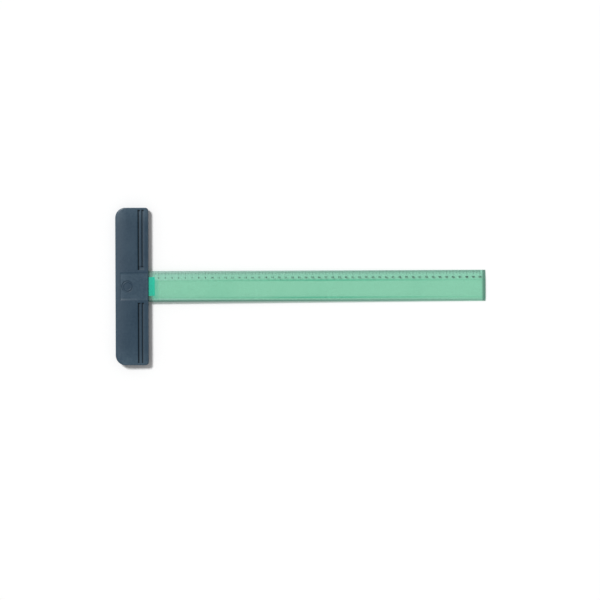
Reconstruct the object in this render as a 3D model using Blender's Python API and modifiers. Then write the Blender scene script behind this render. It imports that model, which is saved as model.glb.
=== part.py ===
"""A drafting T square: a two-shell moulded head with a bevelled, graduated blade of tinted acrylic.

+X runs along the blade, +Y points to its graduated edge, and +Z is up.
The origin is on the working face, at half its height and on the blade's centre line.
The working face is the part of the head that slides along the edge of a drawing board.
"""

import math

import bmesh
import bpy
import numpy as np
from mathutils import Matrix

MM = 0.001

# Fits
GAP = 0.3 * MM  # between neighbours that rest on or pass through each other
BOND_LINE = 0.1 * MM  # the glue under the insert
CUT_PAST = 1.0 * MM  # how far a cutter runs past the surface that it opens

# Head, overall
HEAD_LENGTH = 235.0 * MM
BACK_DEPTH = 44.4 * MM  # from the working face to the back edge
FLANGE = 5.0 * MM  # the cover's overhang past the working face
BACK_CORNER_RADIUS = 15.0 * MM
FRONT_CORNER_RADIUS = 4.5 * MM
FACE_CORNER_RADIUS = 2.0 * MM
FACE_DROP = 6.0 * MM  # height of the working face, from the head's foot to the blade
COVER_HEIGHT = 6.6 * MM
FRONT_FALL = 0.8 * MM  # how much lower the front edge is than the middle of the top
BACK_FALL = 2.0 * MM  # the back edge slopes away more, for the palm
CROWN_STRIPS = 12
TOP_EDGE_RADIUS = 1.4 * MM
FOOT_CHAMFER = 0.6 * MM

# Cover
COVER_WALL = 2.2 * MM
COVER_SKIN = 3.0 * MM  # under the highest line of the top
COVER_RIB = 1.4 * MM
CHANNEL_FROM_FRONT = 6.5 * MM
CHANNEL_WIDTH = 9.1 * MM
CHANNEL_RIB = 2.0 * MM
CHANNEL_FLOOR = 3.0 * MM
CHANNEL_CORNER = 1.2 * MM
CHANNEL_END_WALL = 3.2 * MM
CHANNEL_INNER_WALL = 1.2 * MM  # between a channel and the blade
RIB_RELIEF = 0.6 * MM  # the channel rib's top is this much below the cover's
POCKET_LENGTH = 6.0 * MM  # the rib stops this far short of the upper channel's inner end
POCKET_EXTRA_DEPTH = 0.6 * MM
HUB_PANEL_LENGTH = 40.0 * MM
HUB_PANEL_RECESS = 0.4 * MM
HUB_PANEL_FROM_BACK = 7.6 * MM
HUB_PANEL_FROM_FRONT = 1.5 * MM
HUB_PANEL_CORNER = 2.0 * MM
BADGE_FROM_BACK = 18.1 * MM
BADGE_RADIUS = 9.0 * MM
BADGE_DEPTH = 0.7 * MM
BADGE_RING_OUTER = 7.0 * MM
BADGE_RING_INNER = 5.8 * MM
BADGE_RING_HEIGHT = 0.5 * MM

# Base
BASE_WALL = 2.4 * MM
BASE_FLOOR = 1.8 * MM
BASE_RIB = 1.6 * MM
PAD_MARGIN = 3.5 * MM  # solid plastic beside the blade, in both shells
CELLS_PER_SIDE = 4
CAVITY_CORNER = 1.5 * MM
RIB_EMBED = 0.5 * MM  # how far a rib or boss runs into the walls that it joins

# Blade
BLADE_REACH = 508.0 * MM  # from the working face to the free end
BLADE_FROM_BACK = 6.4 * MM  # from the head's back edge to the blade's end inside it
BLADE_WIDTH = 46.0 * MM
BLADE_THICKNESS = 2.6 * MM
SCALE_BEVEL = 14.5 * MM  # width of the sloping band that carries the graduations
SCALE_EDGE = 1.0 * MM  # thickness of the graduated edge
PLAIN_BEVEL = 5.8 * MM
PLAIN_EDGE = 1.6 * MM

# Insert over the blade's root
INSERT_WIDTH = 27.8 * MM
INSERT_THICKNESS = 1.2 * MM
INSERT_SHOWING = 9.3 * MM  # past the flange
INSERT_FROM_BLADE_END = 2.0 * MM

# Screws and dowels
SHANK_RADIUS = 1.5 * MM
SHANK_TIP = 0.7 * MM  # length of the pointed end
SCREW_HEAD_RADIUS = 2.8 * MM
SCREW_HEAD_HEIGHT = 1.6 * MM
SCREW_HEAD_EDGE = 0.5 * MM
COUNTERBORE_DEPTH = 2.2 * MM
RECESS_LENGTH = 3.0 * MM
RECESS_WIDTH = 0.7 * MM
RECESS_DEPTH = 0.8 * MM
HOLE_END_SKIN = 1.0 * MM  # plastic left over a screw's or dowel's hole
DOWEL_RADIUS = 1.5 * MM
DOWEL_CHAMFER = 0.3 * MM
DOWEL_IN_BASE = 2.4 * MM
BOSS_WALL = 1.6 * MM
CLAMP_INSET = 4.0 * MM  # from the blade's long edges to the clamp screws
CLAMP_FROM_BLADE_END = 5.0 * MM
CLAMP_FROM_FACE = 8.0 * MM
COVER_SCREW_FROM_BACK = 16.9 * MM
COVER_SCREWS_FROM_END = (13.5 * MM, 55.5 * MM)
ROUND_SEGMENTS = 20

# Levels and lines worked out from the sizes above
FOOT_Z = -FACE_DROP / 2
BLADE_Z = FACE_DROP / 2
BASE_TOP_Z = BLADE_Z - GAP
COVER_Z = BLADE_Z
HEAD_TOP_Z = COVER_Z + COVER_HEIGHT
BLADE_TOP_Z = BLADE_Z + BLADE_THICKNESS
INSERT_Z = BLADE_TOP_Z + BOND_LINE
INSERT_TOP_Z = INSERT_Z + INSERT_THICKNESS
SEAT_Z = FOOT_Z + COUNTERBORE_DEPTH
HALF_HEAD = HEAD_LENGTH / 2
HALF_BLADE = BLADE_WIDTH / 2
SCALE_CREASE_Y = HALF_BLADE - SCALE_BEVEL
PLAIN_CREASE_Y = -HALF_BLADE + PLAIN_BEVEL
CHANNEL_FRONT_X = FLANGE - CHANNEL_FROM_FRONT
CHANNEL_BACK_X = CHANNEL_FRONT_X - CHANNEL_WIDTH
CHANNEL_START_Y = HALF_BLADE + GAP + CHANNEL_INNER_WALL
CHANNEL_END_Y = HALF_HEAD - CHANNEL_END_WALL
PAD_EDGE_Y = HALF_BLADE + PAD_MARGIN
CLAMP_Y = HALF_BLADE - CLAMP_INSET
BLADE_END_X = BLADE_FROM_BACK - BACK_DEPTH
INSERT_END_X = BLADE_END_X + INSERT_FROM_BLADE_END
CLAMP_BACK_X = BLADE_END_X + CLAMP_FROM_BLADE_END
CLAMP_FRONT_X = -CLAMP_FROM_FACE
DOWEL_X = (CLAMP_BACK_X + CLAMP_FRONT_X) / 2
COVER_SCREW_X = COVER_SCREW_FROM_BACK - BACK_DEPTH
BADGE_X = BADGE_FROM_BACK - BACK_DEPTH
BADGE_FLOOR_Z = HEAD_TOP_Z - HUB_PANEL_RECESS - BADGE_DEPTH


def clear_objects():
    for item in list(bpy.data.objects):
        bpy.data.objects.remove(item, do_unlink=True)


def new_collection(name):
    collection = bpy.data.collections.new(name)
    bpy.context.scene.collection.children.link(collection)
    return collection


def plastic(name, colour, roughness, transmission=0.0, metallic=0.0):
    material = bpy.data.materials.new(name)
    material.use_nodes = True
    shader = material.node_tree.nodes["Principled BSDF"]
    shader.inputs["Base Color"].default_value = (*colour, 1.0)
    shader.inputs["Roughness"].default_value = roughness
    shader.inputs["Transmission Weight"].default_value = transmission
    shader.inputs["Metallic"].default_value = metallic
    material.diffuse_color = (*colour, 1.0)
    return material


def rounded_rectangle(low_x, high_x, low_y, high_y, back_radius, front_radius, steps=8):
    """Outline of a rectangle, anticlockwise, with one radius at both -X corners and one at both +X."""
    corners = [
        (high_x - front_radius, high_y - front_radius, front_radius, 0.0),
        (low_x + back_radius, high_y - back_radius, back_radius, 0.5 * math.pi),
        (low_x + back_radius, low_y + back_radius, back_radius, math.pi),
        (high_x - front_radius, low_y + front_radius, front_radius, 1.5 * math.pi),
    ]
    points = []
    for centre_x, centre_y, radius, start in corners:
        for step in range(steps + 1):
            angle = start + 0.5 * math.pi * step / steps
            x = centre_x + radius * math.cos(angle)
            y = centre_y + radius * math.sin(angle)
            points.append((x, y))
    return points


def prism(name, outline, low, high, along_x=False):
    """A flat outline given thickness, from low to high along Z, or along X with the outline in Y and Z."""
    curve = bpy.data.curves.new(name, "CURVE")
    curve.dimensions = "2D"
    curve.fill_mode = "BOTH"
    curve.extrude = (high - low) / 2
    spline = curve.splines.new("POLY")
    spline.points.add(len(outline) - 1)
    for point, (u, v) in zip(spline.points, outline):
        point.co = (u, v, 0.0, 1.0)
    spline.use_cyclic_u = True
    drawn = bpy.data.objects.new(name + "_outline", curve)
    bpy.context.scene.collection.objects.link(drawn)
    bpy.context.view_layer.update()
    evaluated = drawn.evaluated_get(bpy.context.evaluated_depsgraph_get())
    mesh = bpy.data.meshes.new_from_object(evaluated)
    bpy.data.objects.remove(drawn)
    place = Matrix.Translation((0.0, 0.0, (low + high) / 2))
    if along_x:
        # Local X, Y and Z become world Y, Z and X.
        place = Matrix(((0, 0, 1, 0), (1, 0, 0, 0), (0, 1, 0, 0), (0, 0, 0, 1))) @ place
    mesh.transform(place)
    form = bmesh.new()
    form.from_mesh(mesh)
    bmesh.ops.remove_doubles(form, verts=form.verts, dist=0.001 * MM)
    bmesh.ops.dissolve_limit(form, angle_limit=0.001, verts=form.verts, edges=form.edges)
    bmesh.ops.recalc_face_normals(form, faces=form.faces)
    form.to_mesh(mesh)
    form.free()
    mesh.name = name
    return bpy.data.objects.new(name, mesh)


def box(name, low, high):
    """A box between two opposite corners."""
    outline = [(low[0], low[1]), (high[0], low[1]), (high[0], high[1]), (low[0], high[1])]
    return prism(name, outline, low[2], high[2])


def rod(name, radius, x, y, low, high):
    """A straight round rod along Z."""
    form = bmesh.new()
    bmesh.ops.create_cone(
        form,
        cap_ends=True,
        segments=ROUND_SEGMENTS,
        radius1=radius,
        radius2=radius,
        depth=high - low,
        matrix=Matrix.Translation((x, y, (low + high) / 2)),
    )
    mesh = bpy.data.meshes.new(name)
    form.to_mesh(mesh)
    form.free()
    return bpy.data.objects.new(name, mesh)


def turned(name, profile):
    """A profile of (radius, height) points, from the top down, spun about Z by a Screw modifier."""
    mesh = bpy.data.meshes.new(name)
    points = [(radius, 0.0, height) for radius, height in profile]
    mesh.from_pydata(points, [(i, i + 1) for i in range(len(points) - 1)], [])
    item = bpy.data.objects.new(name, mesh)
    spin = item.modifiers.new("spin", "SCREW")
    spin.axis = "Z"
    spin.angle = math.tau
    spin.steps = ROUND_SEGMENTS
    spin.render_steps = ROUND_SEGMENTS
    spin.use_merge_vertices = True
    spin.merge_threshold = 0.00002
    return item


def combine(target, tool, operation):
    """Adds a Boolean to the target, and keeps the tool as a hidden guide."""
    tools.objects.link(tool)
    tool.hide_render = True
    tool.display_type = "WIRE"
    change = target.modifiers.new(tool.name, "BOOLEAN")
    change.operation = operation
    change.object = tool
    change.solver = "EXACT"


def cut(target, tool):
    combine(target, tool, "DIFFERENCE")


def join(target, tool):
    combine(target, tool, "UNION")


def finish(item, material):
    """Puts a part in the object's collection, with its material and smooth round faces."""
    parts.objects.link(item)
    item.data.materials.clear()
    item.data.materials.append(material)
    item.data.shade_smooth()
    item.data.set_sharp_from_angle(angle=math.radians(30))
    return item


def crown_stations():
    return np.linspace(-BACK_DEPTH, FLANGE, CROWN_STRIPS + 1)


def crown_drop(x):
    """How far the top lies below its highest line: it falls with the square of the distance from the
    middle towards the front, and with the cube towards the back. It is straight between the stations."""
    stations = crown_stations()
    middle = (FLANGE - BACK_DEPTH) / 2
    half_width = (FLANGE + BACK_DEPTH) / 2
    share = (stations - middle) / half_width
    drops = np.where(share > 0, FRONT_FALL * share**2, -BACK_FALL * share**3)
    return float(np.interp(x, stations, drops))


def give_crown(item, fixed_z=None):
    """Lowers a form by the crown's drop: all of it, or less and less down to a level that stays flat."""
    form = bmesh.new()
    form.from_mesh(item.data)
    for x in crown_stations()[1:-1]:
        everything = form.verts[:] + form.edges[:] + form.faces[:]
        bmesh.ops.bisect_plane(form, geom=everything, plane_co=(x, 0, 0), plane_no=(1, 0, 0), dist=0.001 * MM)
    for vertex in form.verts:
        share = 1.0 if fixed_z is None else (vertex.co.z - fixed_z) / (HEAD_TOP_Z - fixed_z)
        vertex.co.z -= share * crown_drop(vertex.co.x)
    bmesh.ops.triangulate(form, faces=[face for face in form.faces if len(face.verts) > 4])
    form.to_mesh(item.data)
    form.free()


def round_rim(item, level, radius, segments):
    """Rounds the edges that run around a slab at one level."""
    form = bmesh.new()
    form.from_mesh(item.data)
    at_level = [edge for edge in form.edges if all(abs(v.co.z - level) < 0.01 * MM for v in edge.verts)]
    rim = [edge for edge in at_level if len({round(face.normal.z, 3) for face in edge.link_faces}) == 2]
    bmesh.ops.bevel(
        form, geom=rim, offset=radius, segments=segments, profile=0.5, affect="EDGES", clamp_overlap=False
    )
    form.to_mesh(item.data)
    form.free()


def cover_screw_places():
    """X and Y of the four screws that join the shells, one side and then the other."""
    return [
        (COVER_SCREW_X, side * (HALF_HEAD - from_end))
        for side in (1, -1)
        for from_end in COVER_SCREWS_FROM_END
    ]


def clamp_screw_places():
    """X and Y of the four screws through the blade's root."""
    return [(x, side * CLAMP_Y) for side in (1, -1) for x in (CLAMP_BACK_X, CLAMP_FRONT_X)]


def dowel_places():
    return [(DOWEL_X, side * CLAMP_Y) for side in (1, -1)]


def hole_top():
    """Level where every screw's and dowel's hole ends, under the lowest part of the cover's top over one."""
    drop = max(crown_drop(x) for x, _ in cover_screw_places() + clamp_screw_places() + dowel_places())
    return HEAD_TOP_Z - drop - HUB_PANEL_RECESS - HOLE_END_SKIN


def blade_section(gap=0.0):
    """The blade's outline in Y and Z, grown by a gap: flat below, with a bevel along each edge above."""
    half = HALF_BLADE + gap
    low = BLADE_Z - gap
    top = BLADE_TOP_Z + gap
    return [
        (-half, low),
        (half, low),
        (half, BLADE_Z + SCALE_EDGE + gap),
        (SCALE_CREASE_Y, top),
        (PLAIN_CREASE_Y, top),
        (-half, BLADE_Z + PLAIN_EDGE + gap),
    ]


def scale_bevel_z(y):
    """Height of the blade's top at a place on the graduated bevel."""
    return BLADE_TOP_Z - (y - SCALE_CREASE_Y) * (BLADE_THICKNESS - SCALE_EDGE) / SCALE_BEVEL


def insert_section():
    """The insert's outline in Y and Z: flat above, and shaped below to sit on the blade and its bevel."""
    half = INSERT_WIDTH / 2
    section = [(-half, INSERT_TOP_Z), (-half, INSERT_Z)]
    if half > SCALE_CREASE_Y:
        section += [(SCALE_CREASE_Y, INSERT_Z), (half, scale_bevel_z(half) + BOND_LINE)]
    else:
        section += [(half, INSERT_Z)]
    return section + [(half, INSERT_TOP_Z)]


def half_cavity(name, side, wall, front_x, low, high):
    """The hollow in one end of a shell, between the blade's pad and the end wall."""
    near = side * PAD_EDGE_Y
    far = side * (HALF_HEAD - wall)
    outline = rounded_rectangle(
        wall - BACK_DEPTH, front_x, min(near, far), max(near, far), CAVITY_CORNER, CAVITY_CORNER, steps=3
    )
    # The shell's big back corner keeps its wall: the hollow is clipped to an inset of the shell's outline.
    inset = rounded_rectangle(
        wall - BACK_DEPTH,
        front_x + CUT_PAST,
        wall - HALF_HEAD,
        HALF_HEAD - wall,
        BACK_CORNER_RADIUS - wall,
        CAVITY_CORNER,
    )
    hollow = prism(name, outline, low, high)
    combine(hollow, prism(name + "_limit", inset, low - CUT_PAST, high + CUT_PAST), "INTERSECT")
    return hollow


def add_cross_ribs(shell, name, thickness, front_x, wall, low, high):
    """Ribs across both hollows of a shell, at even spaces."""
    length = HALF_HEAD - wall - PAD_EDGE_Y
    for side in (1, -1):
        for number in range(1, CELLS_PER_SIDE):
            y = side * (PAD_EDGE_Y + length * number / CELLS_PER_SIDE)
            rib = box(
                f"{name}_{'upper' if side > 0 else 'lower'}_{number}",
                (wall - BACK_DEPTH - RIB_EMBED, y - thickness / 2, low),
                (front_x + RIB_EMBED, y + thickness / 2, high),
            )
            join(shell, rib)


def make_cover(material):
    """The upper shell: a crowned slab, hollowed below, with a finger channel at each side of the hub."""
    outline = rounded_rectangle(
        -BACK_DEPTH, FLANGE, -HALF_HEAD, HALF_HEAD, BACK_CORNER_RADIUS, FRONT_CORNER_RADIUS
    )
    cover = prism("head_cover", outline, COVER_Z, HEAD_TOP_Z)
    round_rim(cover, HEAD_TOP_Z, TOP_EDGE_RADIUS, segments=3)
    give_crown(cover, fixed_z=COVER_Z)

    ceiling = HEAD_TOP_Z - COVER_SKIN
    front_x = CHANNEL_BACK_X - COVER_WALL
    for side, end in ((1, "upper"), (-1, "lower")):
        cut(cover, half_cavity(f"cover_hollow_{end}", side, COVER_WALL, front_x, COVER_Z - CUT_PAST, ceiling))
    add_cross_ribs(cover, "cover_rib", COVER_RIB, front_x, COVER_WALL, COVER_Z, ceiling + RIB_EMBED)
    for number, (x, y) in enumerate(cover_screw_places(), 1):
        boss_radius = SHANK_RADIUS + GAP + BOSS_WALL
        join(cover, rod(f"cover_boss_{number}", boss_radius, x, y, COVER_Z, ceiling + RIB_EMBED))

    cut_channels(cover)
    cut_hub(cover)
    cut_blade_seat(cover)
    low = COVER_Z - CUT_PAST
    for number, (x, y) in enumerate(cover_screw_places() + clamp_screw_places(), 1):
        cut(cover, rod(f"cover_screw_hole_{number}", SHANK_RADIUS + GAP, x, y, low, hole_top()))
    for number, (x, y) in enumerate(dowel_places(), 1):
        cut(cover, rod(f"cover_dowel_hole_{number}", DOWEL_RADIUS + GAP, x, y, low, hole_top()))
    return finish(cover, material)


def cut_channels(cover):
    """Two long grooves at each side of the hub, with a slim rib left standing between them."""
    rib_back_x = (CHANNEL_BACK_X + CHANNEL_FRONT_X - CHANNEL_RIB) / 2
    rib_front_x = rib_back_x + CHANNEL_RIB
    floor = COVER_Z + CHANNEL_FLOOR
    open_z = HEAD_TOP_Z + CUT_PAST
    grooves = (("back", CHANNEL_BACK_X, rib_back_x), ("front", rib_front_x, CHANNEL_FRONT_X))
    for side, end in ((1, "upper"), (-1, "lower")):
        low_y = min(side * CHANNEL_START_Y, side * CHANNEL_END_Y)
        high_y = max(side * CHANNEL_START_Y, side * CHANNEL_END_Y)
        for place, low_x, high_x in grooves:
            outline = rounded_rectangle(low_x, high_x, low_y, high_y, CHANNEL_CORNER, CHANNEL_CORNER, steps=3)
            cut(cover, prism(f"groove_{place}_{end}", outline, floor, open_z))
        relief = box(
            f"rib_relief_{end}",
            (rib_back_x - CHANNEL_CORNER, low_y + CHANNEL_CORNER, HEAD_TOP_Z - RIB_RELIEF),
            (rib_front_x + CHANNEL_CORNER, high_y - CHANNEL_CORNER, open_z),
        )
        give_crown(relief)
        cut(cover, relief)
    pocket = rounded_rectangle(
        CHANNEL_BACK_X,
        CHANNEL_FRONT_X,
        CHANNEL_START_Y,
        CHANNEL_START_Y + POCKET_LENGTH,
        CHANNEL_CORNER,
        CHANNEL_CORNER,
        steps=3,
    )
    cut(cover, prism("channel_pocket", pocket, floor - POCKET_EXTRA_DEPTH, open_z))


def cut_hub(cover):
    """A shallow panel over the blade's root, and in it a round dish with a plain raised ring."""
    panel_outline = rounded_rectangle(
        HUB_PANEL_FROM_BACK - BACK_DEPTH,
        FLANGE - HUB_PANEL_FROM_FRONT,
        -HUB_PANEL_LENGTH / 2,
        HUB_PANEL_LENGTH / 2,
        HUB_PANEL_CORNER,
        HUB_PANEL_CORNER,
        steps=4,
    )
    panel = prism("hub_panel", panel_outline, HEAD_TOP_Z - HUB_PANEL_RECESS, HEAD_TOP_Z + CUT_PAST)
    give_crown(panel)
    cut(cover, panel)
    cut(cover, rod("badge_dish", BADGE_RADIUS, BADGE_X, 0, BADGE_FLOOR_Z, HEAD_TOP_Z + CUT_PAST))
    ring_top = BADGE_FLOOR_Z + BADGE_RING_HEIGHT
    join(cover, rod("badge_ring", BADGE_RING_OUTER, BADGE_X, 0, BADGE_FLOOR_Z - RIB_EMBED, ring_top))
    cut(cover, rod("badge_middle", BADGE_RING_INNER, BADGE_X, 0, BADGE_FLOOR_Z, ring_top + CUT_PAST))


def cut_blade_seat(cover):
    """The passage under the cover that holds the blade's root and the insert on it."""
    front = FLANGE + CUT_PAST
    cut(cover, prism("blade_seat", blade_section(GAP), BLADE_END_X - GAP, front, along_x=True))
    half = INSERT_WIDTH / 2 + GAP
    cut(cover, box("insert_seat", (INSERT_END_X - GAP, -half, BLADE_Z), (front, half, INSERT_TOP_Z + GAP)))


def make_base(material):
    """The lower shell: a tray whose front wall is the working face."""
    outline = rounded_rectangle(
        -BACK_DEPTH, 0.0, -HALF_HEAD, HALF_HEAD, BACK_CORNER_RADIUS, FACE_CORNER_RADIUS
    )
    base = prism("head_base", outline, FOOT_Z, BASE_TOP_Z)
    round_rim(base, FOOT_Z, FOOT_CHAMFER, segments=1)
    floor = FOOT_Z + BASE_FLOOR
    for side, end in ((1, "upper"), (-1, "lower")):
        hollow = half_cavity(f"base_hollow_{end}", side, BASE_WALL, -BASE_WALL, floor, BASE_TOP_Z + CUT_PAST)
        cut(base, hollow)
    add_cross_ribs(base, "base_rib", BASE_RIB, -BASE_WALL, BASE_WALL, floor - RIB_EMBED, BASE_TOP_Z)
    bore_radius = SCREW_HEAD_RADIUS + GAP
    for number, (x, y) in enumerate(cover_screw_places(), 1):
        join(base, rod(f"base_boss_{number}", bore_radius + BOSS_WALL, x, y, floor - RIB_EMBED, BASE_TOP_Z))
    for number, (x, y) in enumerate(cover_screw_places() + clamp_screw_places(), 1):
        cut(base, rod(f"counterbore_{number}", bore_radius, x, y, FOOT_Z - CUT_PAST, SEAT_Z))
        cut(base, rod(f"base_screw_hole_{number}", SHANK_RADIUS + GAP, x, y, FOOT_Z, BASE_TOP_Z + CUT_PAST))
    for number, (x, y) in enumerate(dowel_places(), 1):
        bottom = BASE_TOP_Z - DOWEL_IN_BASE - GAP
        cut(base, rod(f"base_dowel_hole_{number}", DOWEL_RADIUS + GAP, x, y, bottom, BASE_TOP_Z + CUT_PAST))
    return finish(base, material)


def make_blade(material):
    """The straightedge, with holes through its root for the clamp screws and dowels."""
    blade = prism("blade", blade_section(), BLADE_END_X, BLADE_REACH, along_x=True)
    low = BLADE_Z - CUT_PAST
    high = BLADE_TOP_Z + CUT_PAST
    for number, (x, y) in enumerate(clamp_screw_places(), 1):
        cut(blade, rod(f"blade_screw_hole_{number}", SHANK_RADIUS + GAP, x, y, low, high))
    for number, (x, y) in enumerate(dowel_places(), 1):
        cut(blade, rod(f"blade_dowel_hole_{number}", DOWEL_RADIUS + GAP, x, y, low, high))
    return finish(blade, material)


def make_insert(material):
    """The tinted plate that is bonded on the blade's root and shows in front of the flange."""
    front = FLANGE + INSERT_SHOWING
    return finish(prism("root_insert", insert_section(), INSERT_END_X, front, along_x=True), material)


def screw_profile():
    """A pan-head screw, head down: its tip, shank, head and the head's rounded-off edge."""
    tip = hole_top() - GAP
    head_top = SEAT_Z - GAP
    head_bottom = head_top - SCREW_HEAD_HEIGHT
    return [
        (0.0, tip),
        (SHANK_RADIUS / 2, tip),
        (SHANK_RADIUS, tip - SHANK_TIP),
        (SHANK_RADIUS, head_top),
        (SCREW_HEAD_RADIUS, head_top),
        (SCREW_HEAD_RADIUS, head_bottom + SCREW_HEAD_EDGE),
        (SCREW_HEAD_RADIUS - SCREW_HEAD_EDGE, head_bottom),
        (0.0, head_bottom),
    ]


def make_screw(name, x, y, material):
    screw = turned(name, screw_profile())
    screw.location = (x, y, 0.0)
    head_bottom = SEAT_Z - GAP - SCREW_HEAD_HEIGHT
    half_long = RECESS_LENGTH / 2
    half_wide = RECESS_WIDTH / 2
    for way, (size_x, size_y) in (("x", (half_long, half_wide)), ("y", (half_wide, half_long))):
        slot = box(
            f"{name}_recess_{way}",
            (x - size_x, y - size_y, head_bottom - CUT_PAST),
            (x + size_x, y + size_y, head_bottom + RECESS_DEPTH),
        )
        cut(screw, slot)
    return finish(screw, material)


def make_dowel(name, x, y, material):
    top = hole_top() - GAP
    bottom = BASE_TOP_Z - DOWEL_IN_BASE
    profile = [
        (0.0, top),
        (DOWEL_RADIUS - DOWEL_CHAMFER, top),
        (DOWEL_RADIUS, top - DOWEL_CHAMFER),
        (DOWEL_RADIUS, bottom + DOWEL_CHAMFER),
        (DOWEL_RADIUS - DOWEL_CHAMFER, bottom),
        (0.0, bottom),
    ]
    dowel = turned(name, profile)
    dowel.location = (x, y, 0.0)
    return finish(dowel, material)


clear_objects()
parts = new_collection("t_square")
tools = new_collection("cutters")
tools.hide_render = True

head_plastic = plastic("slate_blue_plastic", (0.040, 0.076, 0.108), roughness=0.45)
blade_acrylic = plastic("green_acrylic", (0.24, 0.60, 0.40), roughness=0.08, transmission=0.9)
insert_acrylic = plastic("teal_acrylic", (0.035, 0.42, 0.29), roughness=0.15, transmission=0.6)
screw_steel = plastic("zinc_plated_steel", (0.55, 0.56, 0.58), roughness=0.35, metallic=1.0)

make_cover(head_plastic)
make_base(head_plastic)
make_blade(blade_acrylic)
make_insert(insert_acrylic)
for screw_number, (screw_x, screw_y) in enumerate(cover_screw_places(), 1):
    make_screw(f"cover_screw_{screw_number}", screw_x, screw_y, screw_steel)
for screw_number, (screw_x, screw_y) in enumerate(clamp_screw_places(), 1):
    make_screw(f"clamp_screw_{screw_number}", screw_x, screw_y, screw_steel)
for dowel_number, (dowel_x, dowel_y) in enumerate(dowel_places(), 1):
    make_dowel(f"dowel_{dowel_number}", dowel_x, dowel_y, screw_steel)
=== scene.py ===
"""A drafting T square: slate-blue moulded head, green clear straightedge with a printed centimetre scale.

The pieces follow in the order in which the T square is put together. Each takes its place from the
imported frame, in metres: +X along the blade, +Y to its graduated edge, +Z up from the board.
"""

import math

import bmesh
import bpy
import numpy as np
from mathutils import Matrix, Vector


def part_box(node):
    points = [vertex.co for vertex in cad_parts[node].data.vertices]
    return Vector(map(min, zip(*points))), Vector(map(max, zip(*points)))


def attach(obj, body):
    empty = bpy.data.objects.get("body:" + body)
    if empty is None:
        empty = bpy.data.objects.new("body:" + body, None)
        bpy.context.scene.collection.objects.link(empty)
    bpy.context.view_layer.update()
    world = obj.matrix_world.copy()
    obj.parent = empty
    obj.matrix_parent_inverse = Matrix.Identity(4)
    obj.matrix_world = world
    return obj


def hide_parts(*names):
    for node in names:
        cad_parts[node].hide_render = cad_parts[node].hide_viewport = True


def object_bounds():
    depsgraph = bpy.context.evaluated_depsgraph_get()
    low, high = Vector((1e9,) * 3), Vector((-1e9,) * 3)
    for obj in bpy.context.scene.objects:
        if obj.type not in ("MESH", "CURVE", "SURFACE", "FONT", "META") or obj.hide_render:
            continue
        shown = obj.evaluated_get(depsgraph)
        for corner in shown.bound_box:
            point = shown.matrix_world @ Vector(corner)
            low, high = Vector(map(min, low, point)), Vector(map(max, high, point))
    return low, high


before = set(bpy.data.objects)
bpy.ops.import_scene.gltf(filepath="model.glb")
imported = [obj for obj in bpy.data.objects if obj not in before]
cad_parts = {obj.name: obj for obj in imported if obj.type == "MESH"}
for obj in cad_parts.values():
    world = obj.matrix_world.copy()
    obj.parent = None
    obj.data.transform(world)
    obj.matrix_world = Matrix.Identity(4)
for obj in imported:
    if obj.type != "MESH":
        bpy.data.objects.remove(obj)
frame_low, frame_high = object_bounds()

# The view is straight down on the T square, centred on its length, with the head's lower half
# nearer to the middle of the view than its upper half.
VIEW_WIDTH = 0.898
VIEW_DISTANCE = 2.6
VIEW_BELOW_BLADE = 0.0211
VIEW_ASIDE = 0.0007
VIEW_ROLL = 0.22

lens = bpy.data.cameras.new("camera")
lens.lens = lens.sensor_width * VIEW_DISTANCE / VIEW_WIDTH
lens.clip_end = 20.0
camera = bpy.data.objects.new("camera", lens)
camera.location = ((frame_low.x + frame_high.x) / 2 - VIEW_ASIDE, -VIEW_BELOW_BLADE, VIEW_DISTANCE)
camera.rotation_euler.z = -math.radians(VIEW_ROLL)
bpy.context.scene.collection.objects.link(camera)
bpy.context.scene.camera = camera


# --------------------------------------
# Head cover: the upper shell, injection moulded in slate-blue ABS with a fine spark-eroded grain. Its
# top is domed, falls away to the palm at the back, and is cored by two long channels with a slim rib.
# --------------------------------------
MM = 0.001
WALL_LEAN = 0.02 * MM  # half the width of a moulded wall's slope, so that no face stands dead upright
FRONT_FALL = 0.8 * MM
BACK_FALL = 2.0 * MM
BACK_CORNER = 15.0 * MM
FRONT_CORNER = 4.5 * MM
RIM_RADIUS = 1.4 * MM
CHANNEL_FROM_FRONT = 6.5 * MM
CHANNEL_WIDTH = 9.1 * MM
CHANNEL_RIB = 2.0 * MM
CHANNEL_FLOOR = 3.0 * MM
CHANNEL_START = 24.5 * MM
CHANNEL_END_WALL = 3.2 * MM
CHANNEL_LIP = 0.45 * MM
RIB_RELIEF = 0.6 * MM
RIB_LIP = 0.25 * MM
POCKET_LENGTH = 6.0 * MM
POCKET_EXTRA = 0.6 * MM
PANEL_LENGTH = 40.0 * MM
PANEL_RECESS = 0.4 * MM
PANEL_FROM_BACK = 7.6 * MM
PANEL_FROM_FRONT = 1.5 * MM
PANEL_LIP = 0.18 * MM
BADGE_FROM_BACK = 18.1 * MM
BADGE_RADIUS = 9.0 * MM
BADGE_DEPTH = 0.7 * MM
BADGE_LIP = 0.3 * MM
RING_OUTER = 7.0 * MM
RING_INNER = 5.8 * MM
RING_HEIGHT = 0.5 * MM
RING_LIP = 0.2 * MM
BADGE_REACH = 10.2 * MM  # the grid's rings are round up to the badge's rim and square again here
SEAT_GAP = 0.3 * MM
END_HIGHLIGHT_LENGTH = 26.0 * MM  # how far the painted highlight at each end of the head reaches
PALER_CHANNEL_FROM = 1.2 * MM  # the channels are painted paler, dust together with painted light that lifts their shade, where the top is sunk deeper than this
COLUMN_SPACING = 2.5 * MM
ROW_SPACING = 3.0 * MM
BADGE_SPACING = 1.5 * MM
BACK_HOLD = 1.0 * MM  # the corners draw the grid in from this far beyond the channels
FRONT_HOLD = 0.6 * MM
PALING_CENTRE = 0.3  # the rims' paling, wear together with a painted highlight, is strongest at this share of the rim's radius, and spreads this far
PALING_SPREAD = 0.6
LIP_RUB = 0.7
# how strong the painted highlight at both ends is
END_HIGHLIGHT = 1.1
UNDERSIDE_WEAR_AND_HIGHLIGHT = 0.3


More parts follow.
